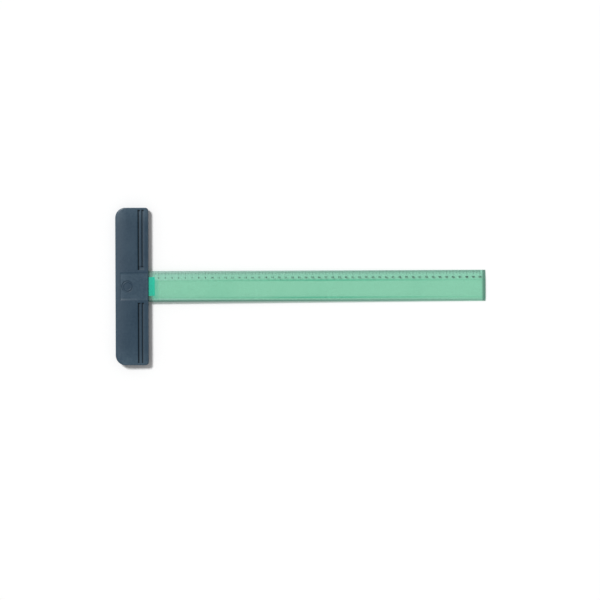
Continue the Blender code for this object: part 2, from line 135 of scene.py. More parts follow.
def lines(low, high, spacing, *clusters):
    """Sorted grid lines from low to high: the clusters' own, and even ones where a gap exceeds spacing."""
    fixed = np.unique(np.concatenate([[low, high], *clusters]).round(7))
    fixed = fixed[(fixed >= round(low, 7)) & (fixed <= round(high, 7))]
    gaps = np.diff(fixed)
    parts = np.maximum(np.ceil(gaps / spacing - 1e-6).astype(int), 1)
    first = np.repeat(np.cumsum(parts) - parts, parts)
    share = (np.arange(parts.sum()) - first) / np.repeat(parts, parts)
    return np.append(np.repeat(fixed[:-1], parts) + share * np.repeat(gaps, parts), fixed[-1])


def wall_lines(places, lip):
    """Grid lines for a moulded wall at each place: its two edges, and a quarter round of radius lip each side."""
    rounding = lip * (1 - np.sin(np.radians([0, 25, 55])))
    offsets = np.concatenate([-rounding, [-WALL_LEAN, WALL_LEAN], rounding])
    return np.add.outer(np.asarray(places), offsets).ravel()


def inside_outline(x, y, low, high, back_corner, front_corner):
    """Distance inwards from a rounded rectangle, negative outside: the box distance with each corner's own radius."""
    middle, half = (low + high) / 2, (high - low) / 2
    corner = np.where(x < middle[0], back_corner, front_corner)
    over_x = np.abs(x - middle[0]) - half[0] + corner
    over_y = np.abs(y - middle[1]) - half[1] + corner
    return corner - np.hypot(np.maximum(over_x, 0), np.maximum(over_y, 0)) - np.minimum(np.maximum(over_x, over_y), 0)


def sunk(inside, depth, lip):
    """Depth of a recess by the distance inside its outline: a quarter round, a wall, and a quarter round below."""
    rim = lip - np.sqrt(np.maximum(lip**2 - np.clip(inside + lip, 0, lip) ** 2, 0))
    floor = depth - lip + np.sqrt(np.maximum(lip**2 - np.clip(lip - inside, 0, lip) ** 2, 0))
    return np.where(inside > 0, floor, rim)


def fit_corners(x, y, low, high, back_corner, front_corner, back_hold, front_hold):
    """Draws the grid's ends in to the rounded corners: beyond each hold line, x shrinks evenly to the outline."""
    over = np.abs(y - (low[1] + high[1]) / 2) - (high[1] - low[1]) / 2
    back = back_corner - np.sqrt(back_corner**2 - np.clip(over + back_corner, 0, back_corner) ** 2)
    front = front_corner - np.sqrt(front_corner**2 - np.clip(over + front_corner, 0, front_corner) ** 2)
    drawn_back = back_hold - (back_hold - x) * (1 - back / (back_hold - low[0]))
    drawn_front = front_hold + (x - front_hold) * (1 - front / (high[0] - front_hold))
    return np.where(x < back_hold, drawn_back, np.where(x > front_hold, drawn_front, x))


def round_rings(x, y, centre, round_to, reach):
    """Bends the grid's square rings about a point into circles of the same half-width, square again at reach."""
    a, b = x - centre[0], y - centre[1]
    ring = np.maximum(np.abs(a), np.abs(b))
    wide = np.abs(a) >= np.abs(b)
    along = np.where(wide, a, b)
    turn = np.pi / 4 * np.where(wide, b, a) / np.where(ring > 0, along, 1)
    straight, aside = ring * np.sign(along) * np.cos(turn), ring * np.sign(along) * np.sin(turn)
    share = np.clip((reach - ring) / (reach - round_to), 0, 1)
    new_x = x + share * (np.where(wide, straight, aside) - a)
    new_y = y + share * (np.where(wide, aside, straight) - b)
    return new_x, new_y


def piece_from_faces(name, points, *face_blocks, smooth_angle=35):
    """A named mesh object from blocks of faces, shaded smooth except at edges sharper than the angle."""
    mesh = bpy.data.meshes.new(name)
    mesh.from_pydata(points.tolist(), [], [face for block in face_blocks for face in block.tolist()])
    mesh.shade_smooth()
    mesh.set_sharp_from_angle(angle=math.radians(smooth_angle))
    piece = bpy.data.objects.new(name, mesh)
    bpy.context.scene.collection.objects.link(piece)
    return piece


def between_fields(name, x, y, top, bottom):
    """A closed skin: two height fields on one grid, joined by a band of faces around the grid's border."""
    rows, columns = x.shape
    index = np.arange(rows * columns).reshape(rows, columns)
    quads = np.stack([index[:-1, :-1], index[:-1, 1:], index[1:, 1:], index[1:, :-1]], axis=-1).reshape(-1, 4)
    border = np.concatenate([index[0, :-1], index[:-1, -1], index[-1, :0:-1], index[:0:-1, 0]])
    following = np.roll(border, -1)
    under = rows * columns
    band = np.stack([border + under, following + under, following, border], axis=-1)
    points = np.concatenate([np.stack([x, y, top], -1).reshape(-1, 3), np.stack([x, y, bottom], -1).reshape(-1, 3)])
    return piece_from_faces(name, points, quads, quads[:, ::-1] + under, band)


def set_attribute(piece, name, values):
    """Stores one number for each vertex, for the piece's material to read."""
    layer = piece.data.attributes.new(name, "FLOAT", "POINT")
    layer.data.foreach_set("value", np.asarray(values, np.float32).ravel())


cover_low, cover_high = (np.array(corner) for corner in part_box("head_cover"))
blade_low, blade_high = (np.array(corner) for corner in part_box("blade"))
insert_low, insert_high = (np.array(corner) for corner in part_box("root_insert"))
half_head = cover_high[1]
half_blade = blade_high[1]
channel_front = cover_high[0] - CHANNEL_FROM_FRONT
channel_back = channel_front - CHANNEL_WIDTH
channel_end = half_head - CHANNEL_END_WALL
rib_back = (channel_back + channel_front - CHANNEL_RIB) / 2
rib_front = rib_back + CHANNEL_RIB
pocket_end = CHANNEL_START + POCKET_LENGTH
panel_low = np.array([cover_low[0] + PANEL_FROM_BACK, -PANEL_LENGTH / 2])
panel_high = np.array([cover_high[0] - PANEL_FROM_FRONT, PANEL_LENGTH / 2])
badge_centre = (cover_low[0] + BADGE_FROM_BACK, 0.0)

rim_offsets = RIM_RADIUS * (1 - np.cos(np.radians([0, 15, 30, 45, 60, 75, 90])))
badge_steps = np.concatenate(
    [
        np.arange(0.0, BADGE_REACH, BADGE_SPACING),
        wall_lines([BADGE_RADIUS], BADGE_LIP),
        wall_lines([RING_OUTER, RING_INNER], RING_LIP),
        [BADGE_RADIUS + 2 * BADGE_LIP, BADGE_REACH],
    ]
)
column_lines = lines(
    cover_low[0],
    cover_high[0],
    COLUMN_SPACING,
    cover_low[0] + rim_offsets,
    cover_high[0] - rim_offsets,
    wall_lines([channel_back, channel_front], CHANNEL_LIP),
    wall_lines([rib_back, rib_front], RIB_LIP),
    wall_lines([panel_low[0], panel_high[0]], PANEL_LIP),
    badge_centre[0] + badge_steps,
    badge_centre[0] - badge_steps,
    blade_low[0] - SEAT_GAP + np.array([-WALL_LEAN, WALL_LEAN]),
    insert_low[0] - SEAT_GAP + np.array([-WALL_LEAN, WALL_LEAN]),
)
corner_turns = np.radians(np.arange(0, 91, 7.5))
half_rows = np.concatenate(
    [
        half_head - rim_offsets,
        half_head - BACK_CORNER * (1 - np.sin(corner_turns)),
        half_head - FRONT_CORNER * (1 - np.sin(corner_turns)),
        wall_lines([CHANNEL_START, channel_end], CHANNEL_LIP),
        wall_lines([pocket_end], CHANNEL_LIP),
        wall_lines([panel_high[1]], PANEL_LIP),
        badge_steps,
        half_blade + SEAT_GAP + np.array([-WALL_LEAN, WALL_LEAN]),
        insert_high[1] + SEAT_GAP + np.array([-WALL_LEAN, WALL_LEAN]),
    ]
)
row_lines = lines(-half_head, half_head, ROW_SPACING, half_rows, -half_rows)
flat_x, flat_y = np.meshgrid(column_lines, row_lines)
holds = (channel_back - BACK_HOLD, channel_front + FRONT_HOLD)
fitted_x = fit_corners(flat_x, flat_y, cover_low, cover_high, BACK_CORNER, FRONT_CORNER, *holds)
cover_x, cover_y = round_rings(fitted_x, flat_y, badge_centre, BADGE_RADIUS + 2 * BADGE_LIP, BADGE_REACH)


def domed_top(x):
    """Height of the cover's top: it falls with the square of the way to the front, and the cube of that to the back."""
    middle, half = (cover_low[0] + cover_high[0]) / 2, (cover_high[0] - cover_low[0]) / 2
    share = (x - middle) / half
    return cover_high[2] - np.where(share > 0, FRONT_FALL * share**2, -BACK_FALL * share**3)


def inside_box(x, y, low_x, high_x, low_y, high_y):
    """Distance inwards from a square-cornered box, negative outside."""
    return inside_outline(x, y, np.array([low_x, low_y]), np.array([high_x, high_y]), 0.0, 0.0)


def cover_recesses(x, y):
    """How deep the top is cut at each place: the deepest of the grooves, rib relief, pocket, panel and badge."""
    top = domed_top(x)
    groove_depth = top - (cover_low[2] + CHANNEL_FLOOR)
    away = np.abs(y)
    depth = sunk(inside_box(x, y, panel_low[0], panel_high[0], panel_low[1], panel_high[1]), PANEL_RECESS, PANEL_LIP)
    for low_x, high_x in ((channel_back, rib_back), (rib_front, channel_front)):
        inside = inside_box(x, away, low_x, high_x, CHANNEL_START, channel_end)
        rib_side = (x > low_x + CHANNEL_LIP) == (low_x == channel_back)
        lip = np.where(rib_side, RIB_LIP, CHANNEL_LIP)
        depth = np.maximum(depth, sunk(inside, groove_depth, lip))
    relief = inside_box(x, away, channel_back, channel_front, CHANNEL_START, channel_end)
    depth = np.maximum(depth, sunk(relief, RIB_RELIEF, RIB_LIP))
    pocket = inside_box(x, y, channel_back, channel_front, CHANNEL_START, pocket_end)
    depth = np.maximum(depth, sunk(pocket, groove_depth + POCKET_EXTRA, CHANNEL_LIP))
    radius = np.hypot(x - badge_centre[0], y - badge_centre[1])
    ring = np.minimum(RING_OUTER - radius, radius - RING_INNER)
    dish = sunk(BADGE_RADIUS - radius, PANEL_RECESS + BADGE_DEPTH, BADGE_LIP)
    dish = dish - np.where(radius < BADGE_RADIUS - BADGE_LIP, sunk(ring, RING_HEIGHT, RING_LIP), 0)
    return np.where(radius < BADGE_REACH, np.maximum(depth, dish), depth)


def blade_passage(x, y):
    """Height of the cover's underside: flat, but raised over the blade's bevelled root and the insert on it."""
    over_blade = (np.abs(y) < half_blade + SEAT_GAP) & (x > blade_low[0] - SEAT_GAP)
    over_insert = (np.abs(y) < insert_high[1] + SEAT_GAP) & (x > insert_low[0] - SEAT_GAP)
    height = np.where(over_blade, blade_high[2] + SEAT_GAP, cover_low[2])
    return np.where(over_insert, insert_high[2] + SEAT_GAP, height)


rim_depth = inside_outline(cover_x, cover_y, cover_low[:2], cover_high[:2], BACK_CORNER, FRONT_CORNER)
rim_drop = RIM_RADIUS - np.sqrt(np.maximum(RIM_RADIUS**2 - np.clip(RIM_RADIUS - rim_depth, 0, RIM_RADIUS) ** 2, 0))
recess = cover_recesses(cover_x, cover_y)
cover_top = domed_top(cover_x) - np.maximum(recess, rim_drop)
cover = between_fields("cover_moulding", cover_x, cover_y, cover_top, blade_passage(cover_x, cover_y))
# Paler rims and ends: wear on the rims, and a painted highlight along the rims and at both ends of the rounded top.
rim_wear_and_highlight = np.exp(-(((rim_depth - PALING_CENTRE * RIM_RADIUS) / (PALING_SPREAD * RIM_RADIUS)) ** 2))
lip_rub = np.clip(recess / CHANNEL_LIP, 0, 1) * (recess < RIB_RELIEF)
end_highlight = END_HIGHLIGHT * np.clip(1 - (half_head - np.abs(cover_y)) / END_HIGHLIGHT_LENGTH, 0, 1)
top_wear_and_highlight = np.maximum.reduce([rim_wear_and_highlight, LIP_RUB * lip_rub, end_highlight])
set_attribute(cover, "wear_and_highlight", np.concatenate([top_wear_and_highlight.ravel(), UNDERSIDE_WEAR_AND_HIGHLIGHT * rim_wear_and_highlight.ravel()]))
# Paler in the channels: settled dust, and painted light that lifts the shade of their walls.
channel_dust_and_painted_light = np.clip((recess - PALER_CHANNEL_FROM) / PALER_CHANNEL_FROM, 0, 1)
set_attribute(cover, "dust_and_painted_light", np.concatenate([channel_dust_and_painted_light.ravel(), np.zeros(recess.size)]))


def new_group(name, inputs, outputs):
    """An empty shader node group with named sockets, each given as (name, socket type, default)."""
    group = bpy.data.node_groups.new(name, "ShaderNodeTree")
    for way, sockets in (("INPUT", inputs), ("OUTPUT", outputs)):
        for label, kind, default in sockets:
            socket = group.interface.new_socket(name=label, in_out=way, socket_type=kind)
            if default is not None:
                socket.default_value = default
    return group, group.nodes.new("NodeGroupInput"), group.nodes.new("NodeGroupOutput")


def add_node(tree, kind, values=None, **settings):
    """A node with its settings, and with plain values or incoming links given by socket name or number."""
    node = tree.nodes.new(kind)
    for setting, value in settings.items():
        setattr(node, setting, value)
    for socket, value in (values or {}).items():
        if isinstance(value, bpy.types.NodeSocket):
            tree.links.new(value, node.inputs[socket])
        else:
            node.inputs[socket].default_value = value
    return node


def grain_group():
    """Moulded grain: a fine noise for the height, and two broad ones for the mottle of the skin."""
    group, given, out = new_group(
        "moulded grain",
        [("Vector", "NodeSocketVector", None), ("Grain Size", "NodeSocketFloat", 0.0004)],
        [("Height", "NodeSocketFloat", None), ("Mottle", "NodeSocketFloat", None)],
    )
    scale = add_node(group, "ShaderNodeMath", {0: 1.0, 1: given.outputs["Grain Size"]}, operation="DIVIDE")
    fine = add_node(
        group,
        "ShaderNodeTexNoise",
        {"Vector": given.outputs["Vector"], "Scale": scale.outputs[0], "Detail": 3.0, "Roughness": 0.6},
    )
    broad = add_node(group, "ShaderNodeTexNoise", {"Vector": given.outputs["Vector"], "Scale": 45.0, "Detail": 4.0})
    middle = add_node(group, "ShaderNodeTexNoise", {"Vector": given.outputs["Vector"], "Scale": 320.0, "Detail": 3.0})
    mottle = add_node(group, "ShaderNodeMath", {0: broad.outputs["Fac"], 1: middle.outputs["Fac"]}, operation="ADD")
    halved = add_node(group, "ShaderNodeMath", {0: mottle.outputs[0], 1: 0.5}, operation="MULTIPLY")
    group.links.new(fine.outputs["Fac"], out.inputs["Height"])
    group.links.new(halved.outputs[0], out.inputs["Mottle"])
    return group


def scratch_group():
    """Hairline scratches: the thin band where a noise, stretched along each hair, passes through its middle value."""
    group, given, out = new_group(
        "hairline scratches",
        [
            ("Vector", "NodeSocketVector", None),
            ("Stretch", "NodeSocketVector", (0.05, 1.0, 1.0)),
            ("Density", "NodeSocketFloat", 400.0),
            ("Width", "NodeSocketFloat", 0.01),
        ],
        [("Mask", "NodeSocketFloat", None)],
    )
    both = {0: given.outputs["Vector"], 1: given.outputs["Stretch"]}
    stretched = add_node(group, "ShaderNodeVectorMath", both, operation="MULTIPLY")
    noise = add_node(
        group,
        "ShaderNodeTexNoise",
        {"Vector": stretched.outputs[0], "Scale": given.outputs["Density"], "Detail": 1.0, "Distortion": 0.4},
    )
    off = add_node(group, "ShaderNodeMath", {0: noise.outputs["Fac"], 1: 0.5}, operation="SUBTRACT")
    away = add_node(group, "ShaderNodeMath", {0: off.outputs[0]}, operation="ABSOLUTE")
    hair = add_node(
        group,
        "ShaderNodeMapRange",
        {"Value": away.outputs[0], "From Min": 0.0, "From Max": given.outputs["Width"], "To Min": 1.0, "To Max": 0.0},
    )
    patch = add_node(group, "ShaderNodeTexNoise", {"Vector": given.outputs["Vector"], "Scale": 60.0, "Detail": 2.0})
    where = add_node(group, "ShaderNodeMapRange", {"Value": patch.outputs["Fac"], "From Min": 0.5, "From Max": 0.7})
    mask = add_node(group, "ShaderNodeMath", {0: hair.outputs[0], 1: where.outputs[0]}, operation="MULTIPLY")
    group.links.new(mask.outputs[0], out.inputs["Mask"])
    return group


def new_material(name):
    """A material's node tree with its Principled shader."""
    material = bpy.data.materials.new(name)
    material.use_nodes = True
    return material, material.node_tree, material.node_tree.nodes["Principled BSDF"]


moulded_grain = grain_group()
hairlines = scratch_group()

# The rubbed colour paints worn edges and a painted highlight on the rims and ends; the dust colour is settled dust and
# painted light in the channels.
HEAD_COLOUR = (0.009, 0.034, 0.062, 1)
HEAD_PALE = (0.015, 0.045, 0.076, 1)
HEAD_WEAR_AND_HIGHLIGHT = (0.090, 0.140, 0.180, 1)
HEAD_DUST_AND_PAINTED_LIGHT = (0.060, 0.088, 0.108, 1)


def moulded_plastic():
    """Slate-blue ABS: mottled skin, paler with dust and painted light in the channels, paler and smoother at rims and
    ends with wear and a painted highlight.
    """
    material, tree, shader = new_material("slate_blue_abs")
    place = add_node(tree, "ShaderNodeTexCoord").outputs["Object"]
    grain = add_node(tree, "ShaderNodeGroup", node_tree=moulded_grain)
    tree.links.new(place, grain.inputs["Vector"])
    grain.inputs["Grain Size"].default_value = 0.0004
    hair = add_node(tree, "ShaderNodeGroup", node_tree=hairlines)
    tree.links.new(place, hair.inputs["Vector"])
    hair.inputs["Stretch"].default_value = (1.0, 0.06, 1.0)
    hair.inputs["Density"].default_value = 500.0
    wear_and_highlight = add_node(tree, "ShaderNodeAttribute", attribute_name="wear_and_highlight").outputs["Fac"]
    dust_and_painted_light = add_node(tree, "ShaderNodeAttribute", attribute_name="dust_and_painted_light").outputs["Fac"]
    mottle = add_node(
        tree, "ShaderNodeMapRange", {"Value": grain.outputs["Mottle"], "From Min": 0.35, "From Max": 0.65}
    ).outputs[0]
    skin = add_node(tree, "ShaderNodeMix", {"Factor": mottle, "A": HEAD_COLOUR, "B": HEAD_PALE}, data_type="RGBA")
    patchy = add_node(tree, "ShaderNodeMapRange", {"Value": mottle, "To Min": 0.5}).outputs[0]
    broken = add_node(tree, "ShaderNodeMath", {0: wear_and_highlight, 1: patchy}, operation="MULTIPLY")
    wear_and_highlight_mix = add_node(tree, "ShaderNodeMath", {0: broken.outputs[0], 1: hair.outputs["Mask"]}, operation="MAXIMUM")
    shown = add_node(tree, "ShaderNodeMath", {0: wear_and_highlight_mix.outputs[0], 1: 0.45}, operation="MULTIPLY")
    edged = add_node(
        tree,
        "ShaderNodeMix",
        {"Factor": shown.outputs[0], "A": skin.outputs["Result"], "B": HEAD_WEAR_AND_HIGHLIGHT},
        data_type="RGBA",
    )
    dust_and_light_share = add_node(tree, "ShaderNodeMath", {0: dust_and_painted_light, 1: 0.2}, operation="MULTIPLY")
    coloured = add_node(
        tree,
        "ShaderNodeMix",
        {"Factor": dust_and_light_share.outputs[0], "A": edged.outputs["Result"], "B": HEAD_DUST_AND_PAINTED_LIGHT},
        data_type="RGBA",
    )
    tree.links.new(coloured.outputs["Result"], shader.inputs["Base Color"])
    rough = add_node(tree, "ShaderNodeMapRange", {"Value": mottle, "To Min": 0.38, "To Max": 0.5})
    smoother = add_node(tree, "ShaderNodeMath", {0: broken.outputs[0], 1: 0.14}, operation="MULTIPLY")
    final = add_node(tree, "ShaderNodeMath", {0: rough.outputs[0], 1: smoother.outputs[0]}, operation="SUBTRACT")
    tree.links.new(final.outputs[0], shader.inputs["Roughness"])
    bump = add_node(tree, "ShaderNodeBump", {"Height": grain.outputs["Height"], "Strength": 0.35, "Distance": 0.00005})
    tree.links.new(bump.outputs[0], shader.inputs["Normal"])
    shader.inputs["Specular IOR Level"].default_value = 0.4
    return material


head_plastic = moulded_plastic()
cover.data.materials.append(head_plastic)
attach(cover, "root")
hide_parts("head_cover")


# --------------------------------------
# Head base: the lower shell of the same plastic. Its front wall is the working face that slides on the
# board's edge, and eight counterbores in its foot take the screws.
# --------------------------------------
FACE_CORNER = 2.0 * MM
FOOT_ROUND = 0.6 * MM
COUNTERBORE_RADIUS = 3.1 * MM
COUNTERBORE_DEPTH = 2.2 * MM
BORE_LIP = 0.2 * MM
BORE_ROUND_TO = 3.6 * MM
BORE_REACH = 4.4 * MM
BASE_COLUMN_SPACING = 4.0 * MM
BASE_ROW_SPACING = 6.0 * MM
BASE_BACK_HOLD = -20.0 * MM
BASE_FRONT_HOLD = -2.6 * MM
JOIN_WEAR_AND_HIGHLIGHT = 0.2
BORE_DUST = 0.5

base_low, base_high = (np.array(corner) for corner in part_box("head_base"))
screw_names = sorted(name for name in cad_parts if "screw" in name)
screw_centres = {name: (np.array(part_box(name)[0]) + np.array(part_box(name)[1])) / 2 for name in screw_names}
bore_steps = np.concatenate(
    [[0.0, COUNTERBORE_RADIUS / 2], wall_lines([COUNTERBORE_RADIUS], BORE_LIP), [BORE_ROUND_TO, BORE_REACH]]
)
bore_steps = np.concatenate([bore_steps, -bore_steps])
foot_offsets = FOOT_ROUND * (1 - np.cos(np.radians([0, 22, 45, 68, 90])))
screw_x = np.unique([centre[0].round(6) for centre in screw_centres.values()])
screw_y = np.unique([centre[1].round(6) for centre in screw_centres.values()])
base_columns = lines(
    base_low[0],
    base_high[0],
    BASE_COLUMN_SPACING,
    base_low[0] + foot_offsets,
    base_high[0] - foot_offsets,
    np.add.outer(screw_x, bore_steps).ravel(),
)
base_half_rows = np.concatenate(
    [
        base_high[1] - foot_offsets,
        base_high[1] - BACK_CORNER * (1 - np.sin(corner_turns)),
        base_high[1] - FACE_CORNER * (1 - np.sin(corner_turns)),
    ]
)
bore_rows = np.add.outer(screw_y, bore_steps).ravel()
base_rows = lines(base_low[1], base_high[1], BASE_ROW_SPACING, base_half_rows, -base_half_rows, bore_rows)
flat_x, base_y = np.meshgrid(base_columns, base_rows)
holds = (BASE_BACK_HOLD, BASE_FRONT_HOLD)
base_x = fit_corners(flat_x, base_y, base_low, base_high, BACK_CORNER, FACE_CORNER, *holds)
bore_depth = np.zeros_like(base_x)
for centre in screw_centres.values():
    moved_x, moved_y = round_rings(flat_x, base_y, centre, BORE_ROUND_TO, BORE_REACH)
    near = np.maximum(np.abs(flat_x - centre[0]), np.abs(base_y - centre[1])) < BORE_REACH
    base_x = np.where(near, moved_x, base_x)
    base_y = np.where(near, moved_y, base_y)
    radius = np.hypot(base_x - centre[0], base_y - centre[1])
    bore_depth = np.maximum(bore_depth, sunk(COUNTERBORE_RADIUS - radius, COUNTERBORE_DEPTH, BORE_LIP))
foot_inside = inside_outline(base_x, base_y, base_low[:2], base_high[:2], BACK_CORNER, FACE_CORNER)
foot_rise = FOOT_ROUND - np.sqrt(
    np.maximum(FOOT_ROUND**2 - np.clip(FOOT_ROUND - foot_inside, 0, FOOT_ROUND) ** 2, 0)
)
base_bottom = base_low[2] + np.maximum(foot_rise, bore_depth)
base = between_fields("base_moulding", base_x, base_y, np.full_like(base_x, base_high[2]), base_bottom)
# The foot's rounded edge is painted paler, as wear and as a painted highlight, like the cover's rims.
foot_wear_and_highlight = np.exp(-(((foot_inside - PALING_CENTRE * FOOT_ROUND) / FOOT_ROUND) ** 2))
set_attribute(base, "wear_and_highlight", np.concatenate([JOIN_WEAR_AND_HIGHLIGHT * foot_wear_and_highlight.ravel(), foot_wear_and_highlight.ravel()]))
bore_dust = BORE_DUST * (bore_depth > BORE_LIP).ravel()
set_attribute(base, "dust_and_painted_light", np.concatenate([np.zeros(bore_depth.size), bore_dust]))
base.data.materials.append(head_plastic)
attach(base, "root")
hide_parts("head_base")


# --------------------------------------
# Blade: the straightedge, cut from green clear acrylic sheet. Both long edges are milled to a bevel,
# a wide one for the scale and a narrow one for inking, and every cut edge is broken by hand.
# --------------------------------------
SCALE_BEVEL = 14.5 * MM
SCALE_EDGE = 1.0 * MM
PLAIN_BEVEL = 5.8 * MM
PLAIN_EDGE = 1.6 * MM
EDGE_BREAK = 0.18 * MM
CREASE_CORE = 0.6 * MM  # a crease's painted shade is darkest this far to each side, and has gone by the next
CREASE_WIDTH = 2.0 * MM
SCALE_PAINTED_SHADE_REACH = (1.6 * MM, 0.3 * MM)  # how far in from each long edge the sheet is greyed by painted shade, for the table's shade beneath: from here, to wholly here
PLAIN_PAINTED_SHADE_REACH = (3.4 * MM, 1.6 * MM)
SCALE_SHADE = (1.4 * MM, 0.6 * MM)  # and how far in light is lost, so that the table beneath is in shade
PLAIN_SHADE = (5.0 * MM, 3.0 * MM)
TIP_SHADE = (5.2 * MM, 3.4 * MM)
STATION_SPACING = 20.0 * MM
CREASE_MIDDLE = 0.58  # the share of the length at which the creases' painted shade shows most, and how far that fades each way
CREASE_FADE = 0.26
SHADE_AT_TIP = 0.22
SHADE_LEAN = 2.0 * MM  # near the head the sheet stands off the table, so the plain edge's shade starts further in
SHEET_DEPTH = 0.6  # how deep the flat sheet's colour is, on a scale from none to the creases' painted shade
WALL_DEPTH = 0.8
CREASE_LEAST = 0.2  # the strength of the creases' painted shade where it shows least, and what is added where it shows most
CREASE_MORE = 0.65
GLOW = 0.7
GLOW_FADE = 0.22  # the share of the length over which the bevels are painted paler beside the head, a painted glow of light
# the tip's shade: painted on the sheet, and held back from the light that passes through it
TIP_DARKNESS = 0.48
# how strongly each long edge is greyed by painted shade beside the head; it fades towards the tip
SCALE_PAINTED_SHADE = 0.3
PLAIN_PAINTED_SHADE = 0.75
SCALE_DARKNESS = 0.5

scale_crease = half_blade - SCALE_BEVEL
plain_crease = -half_blade + PLAIN_BEVEL
blade_thickness = blade_high[2] - blade_low[2]


def blade_top(y):
    """Height of the blade's upper face: level between the creases, and straight down to each thin edge."""
    across = [-half_blade, plain_crease, scale_crease, half_blade]
    thickness = [PLAIN_EDGE, blade_thickness, blade_thickness, SCALE_EDGE]
    return blade_low[2] + np.interp(y, across, thickness)


def blade_loop():
    """The blade's section as one loop of (y, z), anticlockwise seen from its free end, with its edges broken."""
    inner = half_blade - EDGE_BREAK
    across = np.array(
        [
            half_blade - SCALE_PAINTED_SHADE_REACH[0],
            half_blade - SCALE_SHADE[1],
            half_blade - SCALE_SHADE[0],
            scale_crease + CREASE_WIDTH,
            scale_crease + CREASE_CORE,
            scale_crease,
            scale_crease - CREASE_CORE,
            scale_crease - CREASE_WIDTH,
            plain_crease + CREASE_WIDTH,
            plain_crease + CREASE_CORE,
            plain_crease,
            plain_crease - CREASE_CORE,
            plain_crease - CREASE_WIDTH,
            PLAIN_SHADE[0] - half_blade,
            PLAIN_SHADE[1] - half_blade,
            PLAIN_PAINTED_SHADE_REACH[0] - half_blade,
            PLAIN_PAINTED_SHADE_REACH[1] - half_blade,
        ]
    )
    across = np.sort(across)[::-1]
    upper = np.stack([across, blade_top(across)], -1)
    lower = np.stack([across[::-1], np.full(len(across), blade_low[2])], -1)
    scale_top, plain_top = blade_top(half_blade), blade_top(-half_blade)
    left = [(-inner, plain_top), (-half_blade, plain_top - EDGE_BREAK), (-half_blade, blade_low[2] + EDGE_BREAK)]
    right = [(half_blade, blade_low[2] + EDGE_BREAK), (half_blade, scale_top - EDGE_BREAK), (inner, scale_top)]
    return np.concatenate([upper, left, [(-inner, blade_low[2])], lower, [(inner, blade_low[2])], right])


def carried_along_x(name, loop, stations, inset):
    """A section carried along X. At each station it is drawn in by an inset, towards its middle, and both ends
    are closed by a fan about the middle."""
    middle = (loop.min(0) + loop.max(0)) / 2
    half = (loop.max(0) - loop.min(0)) / 2
    shrink = 1 - np.outer(inset, 1 / half)
    ring = middle + (loop - middle)[None, :, :] * shrink[:, None, :]
    count, size = len(stations), len(loop)
    x = np.repeat(stations[:, None], size, axis=1)
    points = np.concatenate([x[..., None], ring], axis=2).reshape(-1, 3)
    ends = np.array([[stations[0], *middle], [stations[-1], *middle]])
    index = np.arange(count * size).reshape(count, size)
    after = np.roll(index, -1, axis=1)
    sides = np.stack([index[:-1], after[:-1], after[1:], index[1:]], axis=-1).reshape(-1, 4)
    first = np.stack([np.full(size, count * size), after[0], index[0]], axis=-1)
    last = np.stack([np.full(size, count * size + 1), index[-1], after[-1]], axis=-1)
    return piece_from_faces(name, np.concatenate([points, ends]), sides, first, last, smooth_angle=20)


